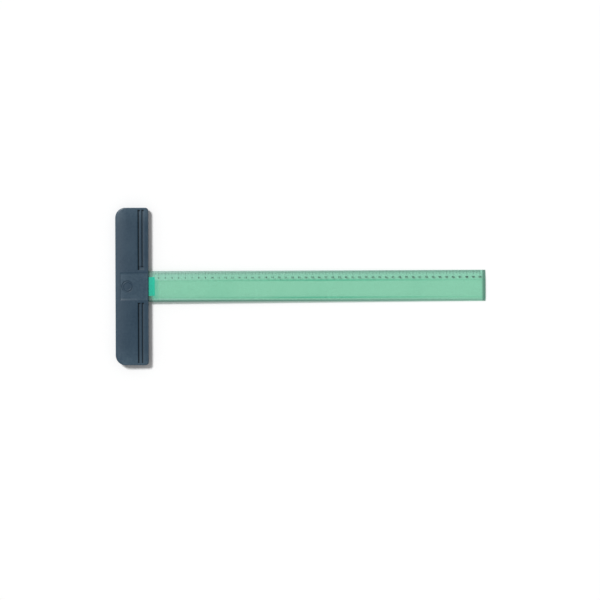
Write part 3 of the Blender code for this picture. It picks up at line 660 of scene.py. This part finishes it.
def clear_acrylic(name, clearness, ramp_colours, edge_shade_colour, lamp_tints, scratch_stretch):
    """Tinted clear acrylic. Its tint deepens with the piece's own depth attribute, which on the blade also carries the
    painted shade of its creases and a painted glow beside the head, and greys with its edge attribute, a painted shade;
    hairline scratches and faint smears roughen it, and light reaches what lies under it through a tinted stand-in,
    darker by the cut mask."""
    material, tree, shader = new_material(name)
    place = add_node(tree, "ShaderNodeTexCoord").outputs["Object"]
    depth = add_node(tree, "ShaderNodeAttribute", attribute_name="depth").outputs["Fac"]
    cloud = add_node(tree, "ShaderNodeTexNoise", {"Vector": place, "Scale": 14.0, "Detail": 3.0})
    uneven = add_node(
        tree,
        "ShaderNodeMapRange",
        {"Value": cloud.outputs["Fac"], "From Min": 0.3, "From Max": 0.7, "To Min": -0.03, "To Max": 0.03},
    )
    sheet = add_node(tree, "ShaderNodeMath", {0: depth, 1: uneven.outputs[0]}, operation="ADD")
    ramp = add_node(tree, "ShaderNodeValToRGB", {"Fac": sheet.outputs[0]})
    stops = ramp.color_ramp.elements
    stops[0].position, stops[0].color = 0.0, ramp_colours[0]
    stops[1].position, stops[1].color = 1.0, ramp_colours[2]
    stops.new(SHEET_DEPTH).color = ramp_colours[1]
    hair = add_node(tree, "ShaderNodeGroup", node_tree=hairlines)
    tree.links.new(place, hair.inputs["Vector"])
    hair.inputs["Stretch"].default_value = scratch_stretch
    hair.inputs["Density"].default_value = 350.0
    hair.inputs["Width"].default_value = 0.007
    smear = add_node(tree, "ShaderNodeTexNoise", {"Vector": place, "Scale": 25.0, "Detail": 4.0})
    haze = add_node(
        tree,
        "ShaderNodeMapRange",
        {"Value": smear.outputs["Fac"], "From Min": 0.4, "From Max": 0.8, "To Min": 0.015, "To Max": 0.07},
    )
    scored = add_node(tree, "ShaderNodeMath", {0: hair.outputs["Mask"], 1: 0.25}, operation="MULTIPLY")
    milled = add_node(tree, "ShaderNodeMapRange", {"Value": depth, "From Min": 0.7, "From Max": 1.0, "To Max": 0.3})
    marked = add_node(tree, "ShaderNodeMath", {0: haze.outputs[0], 1: scored.outputs[0]}, operation="ADD")
    rough = add_node(tree, "ShaderNodeMath", {0: marked.outputs[0], 1: milled.outputs[0]}, operation="ADD")
    pale = add_node(
        tree,
        "ShaderNodeMix",
        {"Factor": scored.outputs[0], "A": ramp.outputs["Color"], "B": (0.85, 0.95, 0.92, 1)},
        data_type="RGBA",
    )
    edge = add_node(tree, "ShaderNodeAttribute", attribute_name="edge").outputs["Fac"]
    edge_shaded = add_node(
        tree, "ShaderNodeMix", {"Factor": edge, "A": pale.outputs["Result"], "B": edge_shade_colour}, data_type="RGBA"
    )
    tree.links.new(edge_shaded.outputs["Result"], shader.inputs["Base Color"])
    tree.links.new(rough.outputs[0], shader.inputs["Roughness"])
    bump = add_node(tree, "ShaderNodeBump", {"Height": hair.outputs["Mask"], "Strength": 0.2, "Distance": 0.00002})
    bump.invert = True
    tree.links.new(bump.outputs[0], shader.inputs["Normal"])
    shader.inputs["Transmission Weight"].default_value = clearness
    shader.inputs["IOR"].default_value = 1.49
    cut = add_node(tree, "ShaderNodeAttribute", attribute_name="cut").outputs["Fac"]
    passed = add_node(
        tree, "ShaderNodeMix", {"Factor": cut, "A": lamp_tints[0], "B": lamp_tints[1]}, data_type="RGBA"
    )
    through = add_node(tree, "ShaderNodeBsdfTransparent", {"Color": passed.outputs["Result"]}).outputs[0]
    path = add_node(tree, "ShaderNodeLightPath")
    bounced = add_node(
        tree, "ShaderNodeMixShader", {0: path.outputs["Is Diffuse Ray"], 1: shader.outputs[0], 2: through}
    )
    lit = add_node(
        tree, "ShaderNodeMixShader", {0: path.outputs["Is Shadow Ray"], 1: bounced.outputs[0], 2: through}
    )
    tree.links.new(lit.outputs[0], tree.nodes["Material Output"].inputs["Surface"])
    return material


BLADE_CLEARNESS = 0.86  # the rest scatters in the sheet, which keeps light trapped in the bevels green
BLADE_THIN = (0.575, 0.79, 0.73, 1)
BLADE_FULL = (0.43, 0.732, 0.588, 1)
# the darkest tint: the painted shade of the creases, which the cut walls take in part
BLADE_CREASE_SHADE = (0.07, 0.50, 0.34, 1)
# the grey green of the painted shade along the edges and the tip
BLADE_EDGE_SHADE = (0.13, 0.29, 0.25, 1)
BLADE_LAMP = (0.69, 0.885, 0.80, 1)
BLADE_CUT_LAMP = (0.30, 0.36, 0.34, 1)

turn = np.radians([0, 30, 60, 90])
near_end = EDGE_BREAK * (1 - np.cos(turn))
end_inset = EDGE_BREAK * (1 - np.sin(turn))
middle_stations = np.concatenate(
    [
        np.arange(blade_low[0] + STATION_SPACING, blade_high[0] - STATION_SPACING, STATION_SPACING),
        blade_high[0] - np.array(TIP_SHADE),
    ]
)
blade_stations = np.concatenate([blade_low[0] + near_end, middle_stations, (blade_high[0] - near_end)[::-1]])
blade_insets = np.concatenate([end_inset, np.zeros(len(middle_stations)), end_inset[::-1]])
section = blade_loop()
blade = carried_along_x("straightedge", section, blade_stations, blade_insets)

along = ((blade_stations - blade_low[0]) / (blade_high[0] - blade_low[0]))[:, None]
across = section[:, 0][None, :]
on_top = (section[:, 1] > blade_low[2] + EDGE_BREAK)[None, :]
from_crease = np.minimum(np.abs(across - scale_crease), np.abs(across - plain_crease))
from_scale, from_plain = half_blade - across, half_blade + across
from_tip = blade_high[0] - blade_stations[:, None]
# The creases are darkened by painted shade, most a little beyond the middle of the length.
crease_shade_mask = np.interp(from_crease, [CREASE_CORE, CREASE_WIDTH], [1, 0]) * on_top
crease_shade_mask = crease_shade_mask * (CREASE_LEAST + CREASE_MORE * np.exp(-(((along - CREASE_MIDDLE) / CREASE_FADE) ** 2)))
to_tip = 1 - (1 - SHADE_AT_TIP) * along
tip_mask = np.interp(from_tip, TIP_SHADE[::-1], [TIP_DARKNESS, 0])
# The long edges and the tip are greyed by painted shade, strongest beside the head, where the table's shade beneath is
# widest.
scale_edge_shade = np.interp(from_scale, SCALE_PAINTED_SHADE_REACH[::-1], [SCALE_PAINTED_SHADE, 0]) * to_tip
plain_edge_shade = np.interp(from_plain, PLAIN_PAINTED_SHADE_REACH[::-1], [PLAIN_PAINTED_SHADE, 0]) * to_tip
on_wall = (np.abs(across) > half_blade - 1e-6) | (from_tip < 1e-6)
edge_shade_grid = np.where(on_wall, 0, np.maximum(scale_edge_shade + plain_edge_shade, tip_mask))
set_attribute(blade, "edge", np.append(edge_shade_grid.ravel(), [0.0, 0.0]))
on_bevel = (across > scale_crease + 1e-6) | (across < plain_crease - 1e-6)
# Beside the head the bevels are painted paler, a painted glow for the light that reaches the table there.
painted_glow = GLOW * np.exp(-((along / GLOW_FADE) ** 2)) * on_bevel
sheet_depth = SHEET_DEPTH * (1 - painted_glow) * (blade_top(across) - blade_low[2]) / blade_thickness
depth_and_shade_grid = np.where(on_wall, WALL_DEPTH, sheet_depth + (1 - sheet_depth) * crease_shade_mask)
set_attribute(blade, "depth", np.append(depth_and_shade_grid.ravel(), [WALL_DEPTH, WALL_DEPTH]))
scale_mask = np.interp(from_scale, SCALE_SHADE[::-1], [SCALE_DARKNESS, 0])
plain_mask = np.interp(from_plain - SHADE_LEAN * (1 - along), PLAIN_SHADE[::-1], [1, 0])
long_mask = (scale_mask + plain_mask) * to_tip
cut_grid = np.maximum(long_mask, tip_mask)
set_attribute(blade, "cut", np.append(cut_grid.ravel(), [1.0, 1.0]))
green_acrylic = clear_acrylic(
    "green_acrylic",
    BLADE_CLEARNESS,
    (BLADE_THIN, BLADE_FULL, BLADE_CREASE_SHADE),
    BLADE_EDGE_SHADE,
    (BLADE_LAMP, BLADE_CUT_LAMP),
    (0.04, 1.0, 1.0),
)
blade.data.materials.append(green_acrylic)
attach(blade, "root")
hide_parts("blade")


# --------------------------------------
# Insert: a small teal plate bonded over the blade's root, which packs it up to the cover and shows as a
# deeper green tab in front of the head.
# --------------------------------------
INSERT_BREAK = 0.3 * MM
INSERT_CLEARNESS = 0.6
INSERT_THIN = (0.10, 0.80, 0.62, 1)
INSERT_FULL = (0.05, 0.70, 0.52, 1)
INSERT_DEEP = (0.03, 0.60, 0.42, 1)
INSERT_LAMP = (0.66, 0.92, 0.92, 1)
INSERT_CUT_LAMP = (0.40, 0.60, 0.58, 1)
BOND_LINE = 0.1 * MM


def insert_loop():
    """The insert's section: flat on top with rounded edges, and its underside follows the blade's bevel."""
    half = insert_high[1]
    top = insert_high[2]
    round_y = half - INSERT_BREAK * (1 - np.sin(turn))
    round_z = top - INSERT_BREAK * (1 - np.cos(turn))
    upper_right = np.stack([round_y[::-1], round_z[::-1]], -1)[::-1]
    upper_left = np.stack([-round_y, round_z], -1)
    under = np.array([-half, scale_crease, half])
    lower = np.stack([under, blade_top(under) + BOND_LINE], -1)
    lower[0, 1] = blade_high[2] + BOND_LINE
    return np.concatenate([upper_right[::-1], upper_left, lower])


insert_section = insert_loop()
insert_near_end = INSERT_BREAK * (1 - np.cos(turn))
insert_end_inset = INSERT_BREAK * (1 - np.sin(turn))
insert_stations = np.concatenate([[insert_low[0], cover_high[0]], (insert_high[0] - insert_near_end)[::-1]])
insert_insets = np.concatenate([[0.0, 0.0], insert_end_inset[::-1]])
insert = carried_along_x("root_plate", insert_section, insert_stations, insert_insets)
insert_depth = np.where(np.abs(insert_section[:, 0]) > insert_high[1] - 0.5 * INSERT_BREAK, 1.0, SHEET_DEPTH)
end_depth = np.where(insert_stations[:, None] > insert_high[0] - 0.5 * INSERT_BREAK, 1.0, insert_depth[None, :])
set_attribute(insert, "depth", np.append(end_depth.ravel(), [1.0, 1.0]))
teal_acrylic = clear_acrylic(
    "teal_acrylic",
    INSERT_CLEARNESS,
    (INSERT_THIN, INSERT_FULL, INSERT_DEEP),
    INSERT_DEEP,
    (INSERT_LAMP, INSERT_CUT_LAMP),
    (1.0, 0.05, 1.0),
)
insert.data.materials.append(teal_acrylic)
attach(insert, "root")
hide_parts("root_insert")


# --------------------------------------
# Scale: graduations and numbers, pad printed in dark green ink on the wide bevel. Zero is at the working
# face, centimetres are numbered from two to fifty, and each mark is a film of ink with its own thickness.
# --------------------------------------
SCALE_CENTIMETRES = 50
FIRST_NUMBER = 2  # the root plate lies over the place of number one
TICK_FROM_EDGE = 0.25 * MM
TICK_LENGTHS = (3.2 * MM, 5.0 * MM, 6.2 * MM)  # a millimetre, five, and ten
TICK_WIDTHS = (0.20 * MM, 0.28 * MM, 0.34 * MM)
INK_LIFT = 0.01 * MM
INK_THICKNESS = 0.02 * MM
NUMBER_FROM_EDGE = 10.2 * MM
NUMBER_HEIGHT = 2.6 * MM
DIGIT_WIDENING = 1.2
DIGIT_SPACING = 2.2 * MM
DIGIT_BOLDNESS = 0.03


def scale_ticks():
    """One slim box for each millimetre mark that clears the head: corners from its place, length and width."""
    marks = np.arange(int(cover_high[0] / MM) + 1, SCALE_CENTIMETRES * 10 + 1)
    rank = (marks % 5 == 0).astype(int) + (marks % 10 == 0).astype(int)
    half_width = np.array(TICK_WIDTHS)[rank] / 2
    start = np.full(len(marks), half_blade - TICK_FROM_EDGE)
    end = start - np.array(TICK_LENGTHS)[rank]
    x = (marks * MM)[:, None] + half_width[:, None] * np.array([-1, 1, 1, -1])
    y = np.stack([end, end, start, start], -1)
    low = blade_top(y) + INK_LIFT
    corners = np.stack([np.stack([x, y, low], -1), np.stack([x, y, low + INK_THICKNESS], -1)], 1)
    box = np.array([[3, 2, 1, 0], [4, 5, 6, 7], [0, 1, 5, 4], [1, 2, 6, 5], [2, 3, 7, 6], [3, 0, 4, 7]])
    faces = box[None] + 8 * np.arange(len(marks))[:, None, None]
    return piece_from_faces("scale_ticks", corners.reshape(-1, 3), faces.reshape(-1, 4))


def digit_shape(digit):
    """A digit's outline filled and given thickness, as points and triangles, centred at its own middle."""
    letters = bpy.data.curves.new(f"digit_{digit}", "FONT")
    letters.body = str(digit)
    letters.size = 1.0
    letters.resolution_u = 3
    letters.extrude = 0.5
    letters.offset = DIGIT_BOLDNESS
    drawn = bpy.data.objects.new(f"digit_{digit}", letters)
    bpy.context.scene.collection.objects.link(drawn)
    bpy.context.view_layer.update()
    mesh = bpy.data.meshes.new_from_object(drawn.evaluated_get(bpy.context.evaluated_depsgraph_get()))
    form = bmesh.new()
    form.from_mesh(mesh)
    bmesh.ops.remove_doubles(form, verts=form.verts, dist=0.002)
    bmesh.ops.triangulate(form, faces=form.faces)
    level = [face for face in form.faces if np.ptp([corner.co.z for corner in face.verts]) < 1e-6]
    inner = [edge for edge in form.edges if all(face in level for face in edge.link_faces)]
    bmesh.ops.beautify_fill(form, faces=level, edges=inner)  # flips the slivers that the fill leaves in a four
    bmesh.ops.recalc_face_normals(form, faces=form.faces)
    form.to_mesh(mesh)
    form.free()
    mesh.calc_loop_triangles()
    points = np.empty(len(mesh.vertices) * 3)
    mesh.vertices.foreach_get("co", points)
    triangles = np.empty(len(mesh.loop_triangles) * 3, int)
    mesh.loop_triangles.foreach_get("vertices", triangles)
    bpy.data.objects.remove(drawn)
    bpy.data.meshes.remove(mesh)
    points = points.reshape(-1, 3)
    points[:, :2] -= (points[:, :2].min(0) + points[:, :2].max(0)) / 2
    return points, triangles.reshape(-1, 3)


def scale_numbers():
    """Every number as its digits, set side by side, centred on its centimetre mark and laid on the bevel."""
    shapes = [digit_shape(digit) for digit in range(10)]
    size = NUMBER_HEIGHT / np.ptp(shapes[8][0][:, 1])
    points, faces, used = [], [], 0
    for number in range(FIRST_NUMBER, SCALE_CENTIMETRES + 1):
        text = str(number)
        for place, digit in enumerate(text):
            shape, triangles = shapes[int(digit)]
            x = number * 10 * MM + (place - (len(text) - 1) / 2) * DIGIT_SPACING + shape[:, 0] * size * DIGIT_WIDENING
            y = half_blade - NUMBER_FROM_EDGE + shape[:, 1] * size
            z = blade_top(y) + INK_LIFT + (shape[:, 2] + 0.5) * INK_THICKNESS
            points.append(np.stack([x, y, z], -1))
            faces.append(triangles + used)
            used += len(shape)
    return piece_from_faces("scale_numbers", np.concatenate(points), np.concatenate(faces), smooth_angle=30)


def printing_ink():
    """Dark green ink, a little thin in places, with a dull surface."""
    material, tree, shader = new_material("printing_ink")
    place = add_node(tree, "ShaderNodeTexCoord").outputs["Object"]
    speckle = add_node(tree, "ShaderNodeTexNoise", {"Vector": place, "Scale": 4000.0, "Detail": 2.0})
    colour = add_node(
        tree,
        "ShaderNodeMix",
        {"Factor": speckle.outputs["Fac"], "A": (0.002, 0.022, 0.016, 1), "B": (0.006, 0.045, 0.03, 1)},
        data_type="RGBA",
    )
    tree.links.new(colour.outputs["Result"], shader.inputs["Base Color"])
    rough = add_node(tree, "ShaderNodeMapRange", {"Value": speckle.outputs["Fac"], "To Min": 0.45, "To Max": 0.65})
    tree.links.new(rough.outputs[0], shader.inputs["Roughness"])
    return material


ink = printing_ink()
for print_piece in (scale_ticks(), scale_numbers()):
    print_piece.data.materials.append(ink)
    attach(print_piece, "root")


# --------------------------------------
# Screws and dowels: zinc-plated pan-head screws with a cross recess, driven from the foot, and two plain
# dowels that hold the blade square. Only the screws' heads show, deep in their counterbores.
# --------------------------------------
SHANK_RADIUS = 1.5 * MM
SCREW_HEAD_HEIGHT = 1.6 * MM
SCREW_HEAD_EDGE = 0.5 * MM
CROSS_LENGTH = 3.0 * MM
CROSS_WIDTH = 0.7 * MM
CROSS_DEPTH = 0.8 * MM
CROSS_SLOPE = 0.12 * MM
SCREW_TURNS = 72
TIP_TAPER = 0.7 * MM
FACE_RINGS = 24


def screw_form(name):
    """A turned profile, tip to head, whose head face is then pressed in by a cross with sloping walls."""
    low, high = (np.array(corner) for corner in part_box(name))
    centre = (low + high) / 2
    head_radius = (high[0] - low[0]) / 2
    head_top = low[2] + SCREW_HEAD_HEIGHT
    dome = np.radians([0, 30, 60, 90])
    edge_radius = head_radius - SCREW_HEAD_EDGE * (1 - np.cos(dome))
    edge_height = low[2] + SCREW_HEAD_EDGE * (1 - np.sin(dome))
    face_radius = np.linspace(edge_radius[-1], 0.0, FACE_RINGS)[1:-1]
    radius = np.concatenate([[SHANK_RADIUS / 2, SHANK_RADIUS, SHANK_RADIUS, head_radius], edge_radius, face_radius])
    height = np.concatenate([[high[2], high[2] - TIP_TAPER, head_top, head_top], edge_height, face_radius * 0 + low[2]])
    angle = np.arange(SCREW_TURNS) * math.tau / SCREW_TURNS
    x = centre[0] + np.outer(radius, np.cos(angle))
    y = centre[1] + np.outer(radius, np.sin(angle))
    long_way = np.minimum(CROSS_LENGTH / 2 - np.abs(x - centre[0]), CROSS_WIDTH / 2 - np.abs(y - centre[1]))
    cross_way = np.minimum(CROSS_LENGTH / 2 - np.abs(y - centre[1]), CROSS_WIDTH / 2 - np.abs(x - centre[0]))
    inside = np.clip(np.maximum(long_way, cross_way) / CROSS_SLOPE, 0, 1)
    on_face = (radius < edge_radius[-1] + 1e-9) & (height < head_top - SCREW_HEAD_EDGE)
    z = height[:, None] + CROSS_DEPTH * inside * on_face[:, None]
    index = np.arange(z.size).reshape(z.shape)
    after = np.roll(index, -1, axis=1)
    sides = np.stack([index[:-1], index[1:], after[1:], after[:-1]], axis=-1).reshape(-1, 4)
    tip, pole = z.size, z.size + 1
    tip_cap = np.stack([np.full(SCREW_TURNS, tip), index[0], after[0]], axis=-1)
    head_cap = np.stack([np.full(SCREW_TURNS, pole), after[-1], index[-1]], axis=-1)
    poles = [[centre[0], centre[1], high[2]], [centre[0], centre[1], low[2] + CROSS_DEPTH]]
    points = np.concatenate([np.stack([x, y, z], -1).reshape(-1, 3), poles])
    return piece_from_faces(name + "_form", points, sides, tip_cap, head_cap)


def plated_steel():
    """Zinc plate: bright, with turning marks in its roughness and a faint yellow cast in patches."""
    material, tree, shader = new_material("zinc_plate")
    place = add_node(tree, "ShaderNodeTexCoord").outputs["Object"]
    grain = add_node(tree, "ShaderNodeGroup", node_tree=moulded_grain)
    tree.links.new(place, grain.inputs["Vector"])
    grain.inputs["Grain Size"].default_value = 0.00025
    colour = add_node(
        tree,
        "ShaderNodeMix",
        {"Factor": grain.outputs["Mottle"], "A": (0.62, 0.61, 0.56, 1), "B": (0.72, 0.73, 0.75, 1)},
        data_type="RGBA",
    )
    rough = add_node(tree, "ShaderNodeMapRange", {"Value": grain.outputs["Height"], "To Min": 0.22, "To Max": 0.42})
    bump = add_node(tree, "ShaderNodeBump", {"Height": grain.outputs["Height"], "Strength": 0.2, "Distance": 0.00002})
    tree.links.new(colour.outputs["Result"], shader.inputs["Base Color"])
    tree.links.new(rough.outputs[0], shader.inputs["Roughness"])
    tree.links.new(bump.outputs[0], shader.inputs["Normal"])
    shader.inputs["Metallic"].default_value = 1.0
    return material


steel = plated_steel()
for screw_name in screw_names:
    screw = screw_form(screw_name)
    screw.data.materials.append(steel)
    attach(screw, "root")
    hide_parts(screw_name)
for node_name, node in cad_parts.items():
    if node_name.startswith("dowel"):
        node.data.materials.clear()
        node.data.materials.append(steel)


# --------------------------------------
# The table: a plain pale sheet. The T square rests on it by the head's front foot and the blade's free
# end, so the sheet leans by the angle between those two lines.
# --------------------------------------
TABLE_HALF = 6.0
TABLE_LINES = 9
TABLE_CLEAR = 0.02 * MM
table_slope = (blade_low[2] - base_low[2]) / (blade_high[0] - base_high[0])
table_line = np.linspace(-TABLE_HALF, TABLE_HALF, TABLE_LINES)
table_x, table_y = np.meshgrid(table_line, table_line)
table_z = base_low[2] - TABLE_CLEAR + (table_x - base_high[0]) * table_slope
table_index = np.arange(table_x.size).reshape(table_x.shape)
table_faces = np.stack(
    [table_index[:-1, :-1], table_index[:-1, 1:], table_index[1:, 1:], table_index[1:, :-1]], axis=-1
)
table = piece_from_faces("table", np.stack([table_x, table_y, table_z], -1).reshape(-1, 3), table_faces.reshape(-1, 4))
paper, _, paper_shader = new_material("pale_table")
paper_shader.inputs["Base Color"].default_value = (0.93, 0.93, 0.93, 1)
paper_shader.inputs["Roughness"].default_value = 0.9
paper_shader.inputs["Specular IOR Level"].default_value = 0.1
table.data.materials.append(paper)


# --------------------------------------
# Light: one soft sun from the upper left, which throws the short shadow to the lower right, and a pale
# sky all round that fills it.
# --------------------------------------
SUN_STRENGTH = 2.8
SUN_SPREAD = 15.0
SHADOW_DIRECTION = (0.50, -0.52, -1.0)
SKY_STRENGTH = 0.36
BACKDROP_STRENGTH = 0.9

sun_data = bpy.data.lights.new("sun", "SUN")
sun_data.energy = SUN_STRENGTH
sun_data.angle = math.radians(SUN_SPREAD)
sun = bpy.data.objects.new("sun", sun_data)
flat = math.hypot(*SHADOW_DIRECTION[:2])
sun.rotation_euler = (
    math.atan2(flat, -SHADOW_DIRECTION[2]),
    0.0,
    math.atan2(SHADOW_DIRECTION[1], SHADOW_DIRECTION[0]) - math.pi / 2,
)
bpy.context.scene.collection.objects.link(sun)

sky = bpy.data.worlds.new("sky")
sky.use_nodes = True
background = sky.node_tree.nodes["Background"]
background.inputs["Color"].default_value = (1.0, 1.0, 1.0, 1)
seen = add_node(sky.node_tree, "ShaderNodeLightPath").outputs["Is Camera Ray"]
strength = add_node(
    sky.node_tree, "ShaderNodeMapRange", {"Value": seen, "To Min": SKY_STRENGTH, "To Max": BACKDROP_STRENGTH}
)
sky.node_tree.links.new(strength.outputs[0], background.inputs["Strength"])
bpy.context.scene.world = sky
bpy.context.scene.view_settings.view_transform = "Standard"
